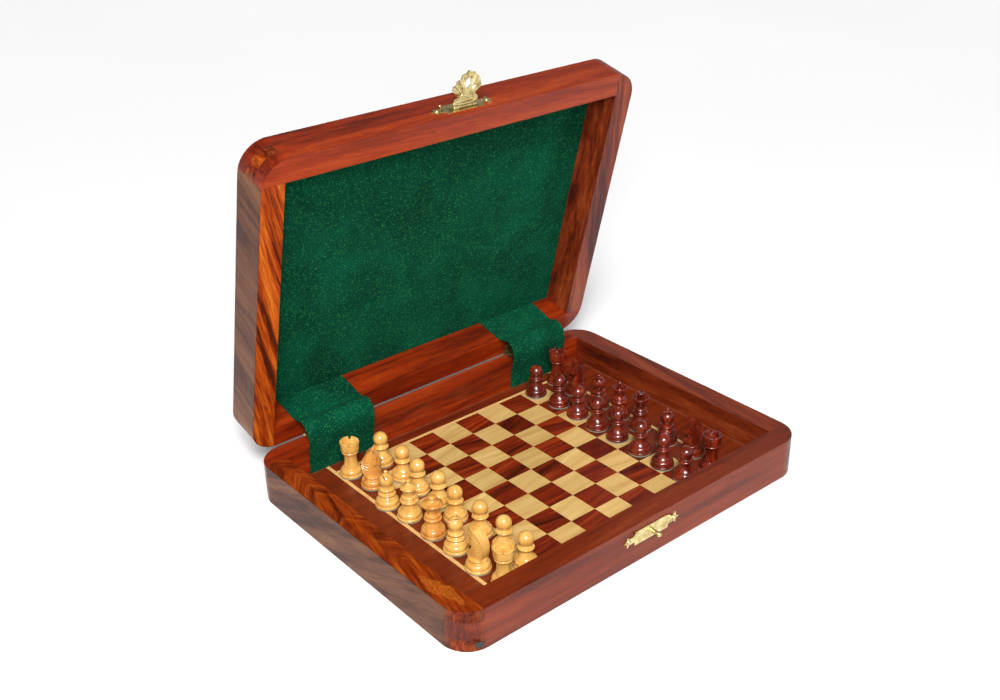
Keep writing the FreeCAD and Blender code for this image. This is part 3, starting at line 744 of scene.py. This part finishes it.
def rook():
    body = turned(
        *foot("rook"), (3.5, 5.5), ((2.95, 8.0), (3.05, 10.8)), (3.3, 11.9), *ring(3.4, 3.95, 12.1, 13.2),
        (3.6, 13.4), ((4.1, 13.7), (4.3, 14.3)), (4.5, 17.9), (4.35, 18.1), (3.45, 18.1), (3.3, 17.9),
        (3.2, 16.0), ((1.5, 15.75), (0, 15.7)))
    slots = [block((12, 1.15, 3.0), rotated(turn, "Z") @ at(0, 0, 18.2)) for turn in (45, 135)]
    return combined(body, slots, "DIFFERENCE")


KNIGHT_SIDE = [(-3.4, 5.2), (-3.7, 7.0), (-4.25, 9.0), (-4.45, 11.0), (-4.25, 13.0), (-3.6, 15.0),
               (-2.6, 16.7), (-1.5, 17.9), (-0.5, 18.5), (0.5, 19.6), (0.95, 19.4), (1.1, 18.2),
               (2.0, 17.1), (2.8, 15.8), (3.6, 14.5), (4.4, 13.4), (4.65, 12.6), (4.3, 11.9), (3.6, 11.6),
               (2.7, 11.9), (1.8, 12.3), (1.2, 11.8), (1.7, 10.9), (2.8, 9.8), (3.6, 8.6), (3.9, 7.2),
               (3.9, 5.2)]
KNIGHT_HALF = 2.45
KNIGHT_CUT = 2.5
MANE_CUTS = 8


def knight_blank():
    """A slab sawn to the knight's outline and crossed with a turned blank."""
    count = len(KNIGHT_SIDE)
    vertices = [(x, side * KNIGHT_HALF, z) for side in (-1, 1) for x, z in KNIGHT_SIDE]
    faces = [tuple(range(count)), tuple(range(2 * count - 1, count - 1, -1))]
    faces += [(k, count + k, count + (k + 1) % count, (k + 1) % count) for k in range(count)]
    blank = turned((4.1, 4.8), ((4.9, 9.0), (5.15, 12.6)), ((4.6, 15.8), (3.1, 18.6)), (2.6, 20.2),
                   (0, 20.2), start=(0, 4.8), segments=72)
    return combined(mesh_of("slab", vertices, faces), [blank], "INTERSECT")


def knight():
    """The blank carved with a mane, eyes, cheeks, a mouth and ears, on its turned stand."""
    cutters = []
    for side in (-1, 1):
        for k in range(MANE_CUTS):
            place = at(-3.5 + 0.055 * k * k, side * KNIGHT_CUT, 7.6 + 1.2 * k)
            lean = rotated(40 - 8 * k, "Y") @ rotated(45, "X")
            cutters.append(block((3.8, 0.38, 0.38), place @ lean))
        eye = turned((0.5, -0.5), (0.5, 0.5), (0, 0.5), start=(0, -0.5), segments=16)
        cutters.append(placed(eye, at(1.9, side * KNIGHT_CUT, 15.0) @ rotated(90, "X")))
        cutters.append(block((5.0, 1.3, 4.5), at(4.6, side * 2.6, 13.2) @ rotated(side * 24, "Z")))
    cutters.append(block((2.6, 6, 0.4), at(4.9, 0, 12.5) @ rotated(20, "Y")))
    cutters.append(block((5.0, 2.3, 2.3), at(0.0, 0, 19.8) @ rotated(45, "X")))
    form = combined(knight_blank(), cutters, "DIFFERENCE")
    stand = turned(*foot("knight"), (3.95, 5.2), ((4.2, 5.6), (3.95, 6.0)), ((2.0, 6.4), (0, 6.5)))
    return combined(stand, [form], "UNION")


def felt_disc(radius):
    """The felt under a foot, cut a little unevenly."""
    mesh = turned((radius - 0.08, 0.0), ((radius, 0.25), (radius - 0.08, 0.5)), (0, 0.5), start=(0, 0.0),
                  segments=40)
    for v in mesh.vertices:
        r = math.hypot(v.co.x, v.co.y)
        if r > radius / 2:
            swell = 1 + 0.012 * noise.noise(Vector((v.co.x, v.co.y, 0)) * 1.7)
            v.co.x *= swell
            v.co.y *= swell
    return mesh


EASED = 0.07
WARM_ONES = ("white_knight_1", "white_king")
# Degrees that a piece is turned on its square. The others are turned at random.
KNIGHT_FACES = {"white_knight_1": -48, "white_knight_2": 100, "black_knight_1": 190, "black_knight_2": 175}
TURNS = {"rook_1": 8, "rook_2": 2, "bishop_1": 150, "bishop_2": 238}
SHAPES = {"pawn": pawn(), "rook": rook(), "knight": knight(), "bishop": bishop(), "queen": queen(),
          "king": king(), "black_queen": queen_dark(), "black_king": king_dark()}
DISCS = {kind: felt_disc(radius - FELT_IN) for kind, radius in FOOT_R.items()}

for name in sorted(frame["bodies"]):
    side, _, rest = name.partition("_")
    if side not in ("white", "black"):
        continue
    kind = rest.split("_")[0]
    low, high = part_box(name)
    middle = (low + high) / 2 / MM
    turn = KNIGHT_FACES.get(name, TURNS.get(rest, random.uniform(0, 360)))
    stand = at(middle.x, middle.y, BOARD_TOP) @ rotated(turn, "Z")
    shape = SHAPES.get(name, SHAPES[kind])
    wood = DARK_PIECE if side == "black" else WARM_PIECE if name in WARM_ONES else LIGHT_PIECE
    slot = "light_piece_wood" if side == "white" else "dark_piece_wood"
    eased = EASED if kind in ("rook", "bishop", "knight") else None
    piece(shape, name + "_body", name, [wood], (name,), stand, eased)
    disc = piece(DISCS[kind], name + "_felt", name, [FELT], (), stand)


# ---- velvet ----

WALL_GAP = 0.15
CLOTH_THICK = 0.42


def cloth(name, front, columns, rows):
    """A closed sheet. front(u, v) gives a point and the normal that the pile faces, in millimetres."""
    vertices, faces = [], []
    for layer in (0, 1):
        for j in range(rows + 1):
            for i in range(columns + 1):
                point, normal = front(i / columns, j / rows)
                vertices.append(Vector(point) - Vector(normal) * CLOTH_THICK * layer)
    stride = columns + 1
    back = stride * (rows + 1)
    for j in range(rows):
        for i in range(columns):
            a = j * stride + i
            faces.append((a, a + 1, a + 1 + stride, a + stride))
            faces.append((back + a, back + a + stride, back + a + 1 + stride, back + a + 1))
    front_count = len(faces)
    rim = list(range(stride)) + [j * stride + columns for j in range(1, rows + 1)]
    rim += [rows * stride + i for i in range(columns - 1, -1, -1)]
    rim += [j * stride for j in range(rows - 1, 0, -1)]
    for a, b in zip(rim, rim[1:] + rim[:1]):
        faces.append((b, a, back + a, back + b))
    mesh = mesh_of(name, vertices, faces, 60)
    for index, polygon in enumerate(mesh.polygons):
        polygon.material_index = 0 if index < front_count and index % 2 == 0 else 1
    return mesh


def lining_front(u, v):
    """The lid's lining, glued down with soft swells and tucked in at its edges."""
    x = (2 * u - 1) * (IN_X - WALL_GAP)
    y = (2 * v - 1) * (IN_Y - WALL_GAP)
    edge = min(IN_X - abs(x), IN_Y - abs(y))
    swell = 0.16 * noise.noise(Vector((x * 0.035, y * 0.05, 3.1)))
    swell += 0.05 * noise.noise(Vector((x, y, 0)) * 0.21)
    tuck = 0.14 * math.exp(-edge / 0.8)
    return Vector((x, y, LINING_FACE + 0.05 + tuck - swell)), Vector((0, 0, -1))


lid_velvet = piece(cloth("lid_velvet", lining_front, 120, 90), "lid_velvet", "lid", [VELVET, BACKING],
                   ("lid_lining",), OPEN_MM)


def smooth_line(points, count):
    """count + 1 evenly spaced points on a Catmull-Rom line through the points, and its length."""
    padded = [2 * points[0] - points[1]] + points + [2 * points[-1] - points[-2]]
    fine = []
    for k in range(1, len(padded) - 2):
        a, b, c, d = padded[k - 1:k + 3]
        for s in range(20):
            t = s / 20
            fine.append(0.5 * ((2 * b) + (c - a) * t + (2 * a - 5 * b + 4 * c - d) * t * t
                               + (3 * b - a - 3 * c + d) * t ** 3))
    fine.append(points[-1])
    lengths = [0.0]
    for p, q in zip(fine, fine[1:]):
        lengths.append(lengths[-1] + (q - p).length)
    spaced = []
    k = 0
    for n in range(count + 1):
        want = lengths[-1] * n / count
        while k < len(fine) - 2 and lengths[k + 1] < want:
            k += 1
        share = (want - lengths[k]) / max(lengths[k + 1] - lengths[k], 1e-9)
        spaced.append(fine[k].lerp(fine[k + 1], share))
    return spaced, lengths[-1]


def flap_path():
    """The flap's line from the lid's wall, round the open parting, down to the board, in millimetres."""
    wall = IN_Y - WALL_GAP
    heights = (LINING_FACE - 0.1, PARTING_TOP + 8.0, PARTING_TOP + 0.5)
    on_lid = [(LID @ (Vector((0, wall, z)) * MM)) / MM for z in heights]
    hanging = [(68.0, 32.2), (64.1, 29.9), (62.8, 25.6), (63.5, 19.9), (64.6, 15.0), (wall, 11.0),
               (wall, BOARD_TOP + 0.1)]
    return on_lid + [Vector((0, y, z)) for y, z in hanging]


def flap(name, node, phase):
    low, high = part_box(node)
    wide = (high.x - low.x) / MM
    centre = (high.x + low.x) / 2 / MM
    rows = 72
    line, length = smooth_line(flap_path(), rows)

    def front(u, v):
        row = min(int(round(v * rows)), rows)
        before, after = line[max(row - 1, 0)], line[min(row + 1, rows)]
        along = (after - before).normalized()
        outward = Vector((0, along.z, -along.y))
        if outward.y > 0:
            outward = -outward
        across = 2 * u - 1
        free = math.sin(math.pi * min(max((v - 0.20) / 0.62, 0), 1))
        sway = 0.35 * free * math.sin(2.6 * across + phase)
        sway += 0.25 * free * math.cos(5.1 * across + 2 * phase)
        sway += 0.18 * free * noise.noise(Vector((u * 3.0, v * 6.0, phase)))
        ruck = 0.10 * noise.noise(Vector((u * 9.0, v * 12.0, 4 + phase)))
        x = centre + across * wide / 2 * (1 + 0.012 * math.sin(5 * v + phase))
        return line[row] + Vector((x, 0, 0)) + outward * (0.38 + sway + ruck), outward

    made = piece(cloth(name, front, 40, rows), name, None, [VELVET, BACKING], (node,))
    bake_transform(made)


flap("left_velvet_flap", "left_hinge_flap", 0.6)
flap("right_velvet_flap", "right_hinge_flap", 2.1)


# ---- latch ----

STAR_X = 13.6
PLATE_THICK = 0.4
STRIKE_Z = 13.0
KEEPER_Z = 25.7
PIN_Z = 24.0
PIN_OUT = 1.4


def pressed(loops, thick, edge=0.06):
    """A flat plate with rounded edges from (x, y) loops: the first is its outline, the others its holes."""
    curve = bpy.data.curves.new("plate", "CURVE")
    curve.dimensions = "2D"
    curve.fill_mode = "BOTH"
    curve.extrude = thick / 2 - edge
    curve.bevel_depth = edge
    curve.offset = -edge
    curve.bevel_resolution = 1
    for loop in loops:
        spline = curve.splines.new("POLY")
        spline.points.add(len(loop) - 1)
        for point, (x, y) in zip(spline.points, loop):
            point.co = (x, y, 0, 1)
        spline.use_cyclic_u = True
    made = added("plate", curve)
    mesh = evaluated(made)
    bpy.data.objects.remove(made)
    reworked(mesh, lambda form: bmesh.ops.remove_doubles(form, verts=form.verts, dist=0.0005))
    return mesh


def both_sides(right):
    """A closed outline from its right half, mirrored."""
    return right + [(-x, y) for x, y in reversed(right)]


def star_points(cx, outer, inner, side):
    """The points of a star whose arms are cut hollow between their tips."""
    points = []
    for arm in range(5):
        for share, reach in ((0, outer), (0.17, 0.72 * outer), (0.5, inner), (0.83, 0.72 * outer)):
            turn = math.tau * (arm + share) / 5
            points.append((cx + side * reach * math.cos(turn), reach * math.sin(turn)))
    return points


def gathered(name, meshes):
    """One mesh from several that touch or overlap."""
    vertices, faces = [], []
    for mesh in meshes:
        first = len(vertices)
        vertices.extend(v.co.copy() for v in mesh.vertices)
        faces.extend([first + i for i in p.vertices] for p in mesh.polygons)
    return mesh_of(name, vertices, faces, 32)


def tube(radius, length):
    """A round bar along X with eased ends, from 0 to length."""
    mesh = turned((radius - 0.1, 0), (radius, 0.1), (radius, length - 0.1), (radius - 0.1, length),
                  (0, length), start=(0, 0), segments=24)
    return placed(mesh, rotated(90, "Y"))


def latch_plate():
    """The star-ended plate in its own plane: x along the box, y up it, z out of the face."""
    corner = [(10.0, -3.3), (10.0, -2.0), (10.8, -1.5), (11.9, -1.15)]
    body = both_sides(corner + [(x, -y) for x, y in reversed(corner)])
    parts = [placed(pressed([body], PLATE_THICK), at(0, 0, PLATE_THICK / 2))]
    for side in (-1, 1):
        star = pressed([star_points(side * STAR_X, 2.9, 1.45, side)], 0.5, 0.12)
        boss = turned((1.5, 0.3), ((1.25, 0.62), (1.0, 0.5)), (0, 0.5), start=(0, 0.3), segments=24)
        nail = turned((1.05, 0.5), ((0.86, 0.95), (0, 1.22)), start=(0, 0.5), segments=24)
        curl = turned((0.35, 0.0), ((0.62, 0.6), (0.3, 1.1)), ((0.16, 1.2), (0, 1.2)), start=(0, 0.0),
                      segments=16)
        middle = at(side * STAR_X, 0, 0)
        parts += [placed(star, at(0, 0, 0.26)), placed(boss, middle), placed(nail, middle),
                  placed(curl, at(side * 10.1, 2.7, PLATE_THICK - 0.1))]
    return parts


# The front face: a plate's own x runs along the box, its y up it and its z out of it.
FACE = Matrix(((1, 0, 0, 0), (0, 0, -1, -HALF_Y), (0, 1, 0, 0), (0, 0, 0, 1)))

stud = turned((1.35, 0.3), ((1.3, 0.7), (1.0, 0.9)), (0.95, 3.9), ((1.22, 4.5), (0.9, 5.2)),
              ((0.5, 5.55), (0, 5.6)), start=(0, 0.3), segments=28)
piece(gathered("strike", latch_plate() + [stud]), "strike_plate_brass", "base", [BRASS],
      ("strike_plate",), at(0, 0, STRIKE_Z) @ FACE)

keeper = latch_plate()
for x0 in (-6.0, 4.1):
    ear = at(x0 + 0.95, PIN_Z - KEEPER_Z + 0.45, PIN_OUT / 2 + 0.1)
    keeper.append(placed(tube(0.9, 1.9), at(x0, PIN_Z - KEEPER_Z, PIN_OUT)))
    keeper.append(block((1.9, 0.9, PIN_OUT), ear))
piece(gathered("keeper", keeper), "latch_plate_brass", "lid", [BRASS], ("lid_latch_plate",),
      OPEN_MM @ at(0, 0, KEEPER_Z) @ FACE)


SHELL = [(4.3, 4.1), (4.6, 4.9), (6.2, 6.4), (8.05, 8.1), (7.9, 9.4), (7.3, 10.9), (6.4, 12.3), (5.2, 13.6),
         (3.8, 14.8), (2.2, 15.7), (0.9, 16.2), (0, 16.3), (-1.2, 16.2), (-2.6, 15.2), (-3.9, 13.9),
         (-5.1, 12.5), (-6.3, 10.9), (-7.3, 9.4), (-8.05, 8.1), (-6.2, 6.4), (-4.6, 4.9), (-4.3, 4.1)]
HOLE_Y, HOLE_HALF_X, HOLE_HALF_Y = 10.6, 1.5, 2.3
FAN_ROOT = 3.2
FLUTES = 11.0


def shell_rim(turn):
    """How far the shell reaches from the middle of its hole at an angle."""
    dx, dy = math.cos(turn), math.sin(turn)
    best = 0.0
    for (ax, ay), (bx, by) in zip(SHELL, SHELL[1:] + SHELL[:1]):
        ay, by = ay - HOLE_Y, by - HOLE_Y
        ex, ey = bx - ax, by - ay
        cross = dx * ey - dy * ex
        if abs(cross) < 1e-9:
            continue
        reach = (ax * ey - ay * ex) / cross
        along = (ax * dy - ay * dx) / cross
        if reach > 0 and -1e-6 <= along <= 1 + 1e-6:
            best = max(best, reach)
    return best


def fluted(x, y):
    """How far the pressed shell bulges at a point, in ribs that fan out from its root."""
    fan = math.atan2(x, y - FAN_ROOT)
    reach = math.hypot(x, y - FAN_ROOT)
    rib = 1 - 1.9 * abs(math.sin(fan * FLUTES))
    strength = min(max((reach - 2.0) / 3.5, 0), 1)
    hole = math.hypot(x / (HOLE_HALF_X + 0.9), (y - HOLE_Y) / (HOLE_HALF_Y + 0.9))
    strength *= min(max((hole - 0.85) * 3.5, 0), 1)
    dish = 0.012 * (abs(x) ** 2)
    return 0.36 * rib * strength + dish * min(max((y - 5) / 4, 0), 1)


def shell_mesh(thick=0.4, around=264, across=12):
    vertices, faces = [], []
    for layer in (-0.5, 0.5):
        for k in range(around):
            turn = math.tau * k / around
            hole = 1 / math.hypot(math.cos(turn) / HOLE_HALF_X, math.sin(turn) / HOLE_HALF_Y)
            rim = shell_rim(turn)
            for j in range(across + 1):
                reach = hole + (rim - hole) * j / across
                x, y = reach * math.cos(turn), HOLE_Y + reach * math.sin(turn)
                if j == across and y > 8.0:
                    fan = math.atan2(x, y - FAN_ROOT)
                    scallop = 1 - 0.024 * abs(math.sin(fan * FLUTES))
                    x, y = x * scallop, FAN_ROOT + (y - FAN_ROOT) * scallop
                vertices.append((x, y, fluted(x, y) + layer * thick))
    stride = across + 1
    far = around * stride
    for k in range(around):
        n = (k + 1) % around
        for j in range(across):
            a, b = k * stride + j, n * stride + j
            faces.append((a, a + 1, b + 1, b))
            faces.append((far + a, far + b, far + b + 1, far + a + 1))
        for j in (0, across):
            a, b = k * stride + j, n * stride + j
            faces.append((a, b, far + b, far + a))
    return mesh_of("shell", vertices, faces, 50)


def hasp_parts():
    """The hasp in its own plane: x along the pin, y away from it, z towards its outer face."""
    arm = both_sides([(6.75, 1.2), (6.7, 2.2), (6.1, 3.9), (4.7, 4.5)])
    slot = both_sides([(4.6, 1.9), (4.6, 3.0)])
    frame_out = both_sides([(5.6, 1.3), (5.5, 3.6)])
    frame_in = both_sides([(4.8, 1.8), (4.8, 3.1)])
    floor_plate = both_sides([(4.7, 1.8), (4.7, 3.1)])
    web = both_sides([(3.9, 0.2), (3.9, 1.3)])
    parts = [pressed([arm, slot], 0.4), pressed([frame_out, frame_in], 0.95, 0.2), shell_mesh(),
             placed(pressed([floor_plate], 0.2, 0.03), at(0, 0, 0.12)),
             placed(tube(0.88, 8.0), at(-4.0, 0, 0)), pressed([web], 0.5, 0.1)]
    for side in (-1, 1):
        scroll = turned((0.2, 0), ((0.42, 0.5), (0.45, 1.6)), ((0.4, 2.6), (0.1, 3.2)), (0, 3.25),
                        start=(0, 0), segments=16)
        lean = at(side * 3.7, 4.1, 0) @ rotated(48 * side, "Z")
        parts.append(placed(scroll, lean @ rotated(-90, "X")))
    return parts


# Hanging, the hasp's y runs down the front of the box. It stands turned outwards from there.
HANGING = Matrix(((1, 0, 0, 0), (0, 0, -1, 0), (0, -1, 0, 0), (0, 0, 0, 1)))
piece(gathered("hasp", hasp_parts()), "hasp_brass", "hasp", [BRASS], ("hasp",),
      OPEN_MM @ at(0, -HALF_Y - PIN_OUT, PIN_Z) @ rotated(-90, "X") @ HANGING)


# ---- filler ----

def filler():
    """The stopping in a chipped corner of the front rail: a dark flush patch with an uneven outline."""
    g = Graph("Dark_Filler")
    grit = g.noise(g.place, 1800.0, 3.0, 0.7)
    g.bump(grit, 0.0001, 0.7)
    material = g.finish(colour=g.ramp(grit, FILLER_TONES), rough=0.55)
    loop = [(-95.2, 3.3), (-94.6, 3.0), (-93.0, 2.5), (-91.5, 1.7), (-91.2, 2.4), (-91.3, 4.1),
            (-92.2, 4.9), (-93.8, 5.3), (-95.0, 5.9), (-95.4, 5.0)]
    patch = placed(pressed([loop], 0.3, 0.05), at(0, 0, -0.1))
    piece(patch, "corner_filler", "base", [material], (), FACE)


filler()


# ---- camera, floor and light ----

CAMERA_AT = (-0.316399, -0.360354, 0.316657)
CAMERA_RIGHT = Vector((0.764442, -0.644507, -0.015482))
CAMERA_FORWARD = Vector((0.567090, 0.683655, -0.459374))
LENS = 43.98
FLOOR_HALF = 12
FLASH_OVER_LENS = 0.08
SKY = [(0.0, 0.70), (0.40, 0.42), (0.62, 0.13), (1.0, 0.11)]


def grey(level):
    return (level, level, level, 1)


scene.view_settings.view_transform = "Standard"

camera_data = bpy.data.cameras.new("Camera")
camera_data.sensor_width = 36.0
camera_data.lens = LENS
camera_data.clip_start = 0.01
camera = added("Camera", camera_data)
up = CAMERA_RIGHT.cross(CAMERA_FORWARD).normalized()
camera.matrix_world = at(*CAMERA_AT) @ Matrix((CAMERA_RIGHT, up, -CAMERA_FORWARD)).transposed().to_4x4()
scene.camera = camera

corners = [(x * FLOOR_HALF, y * FLOOR_HALF, 0) for x, y in ((-1, -1), (1, -1), (1, 1), (-1, 1))]
floor = added("floor", mesh_of("floor", corners, [(0, 1, 2, 3)]))
pale = Graph("Pale_Floor")
tone = pale.ramp(pale.noise(pale.place, 3.0), [(0.3, grey(0.95)), (0.7, grey(0.97))])
floor.data.materials.append(pale.finish(colour=tone, rough=0.8))

world = bpy.data.worlds.new("World")
world.use_nodes = True
sky = world.node_tree
seen = sky.nodes.new("ShaderNodeTexCoord")
apart = sky.nodes.new("ShaderNodeSeparateXYZ")
fade = sky.nodes.new("ShaderNodeValToRGB")
fill_ramp(fade.color_ramp, [(height, grey(level)) for height, level in SKY])
sky.links.new(seen.outputs["Generated"], apart.inputs[0])
sky.links.new(apart.outputs["Z"], fade.inputs[0])
sky.links.new(fade.outputs[0], sky.nodes["Background"].inputs[0])
scene.world = world


def shining(name, kind, direction_from, energy, size, place=(0, 0, 1)):
    """A lamp that shines from a direction towards the object."""
    data = bpy.data.lights.new(name, kind)
    data.energy = energy
    if kind == "SUN":
        data.angle = size
    else:
        data.size = size
    lamp = added(name, data)
    lamp.location = place
    lamp.rotation_euler = Vector(direction_from).to_track_quat("Z", "Y").to_euler()


shining("Key", "SUN", (-0.40, -0.56, 0.73), 3.4, math.radians(24))
flash = camera.matrix_world @ Vector((0, FLASH_OVER_LENS, 0))
shining("Flash", "AREA", flash - Vector((0, 0, 0.04)), 1.7, 0.07, flash)
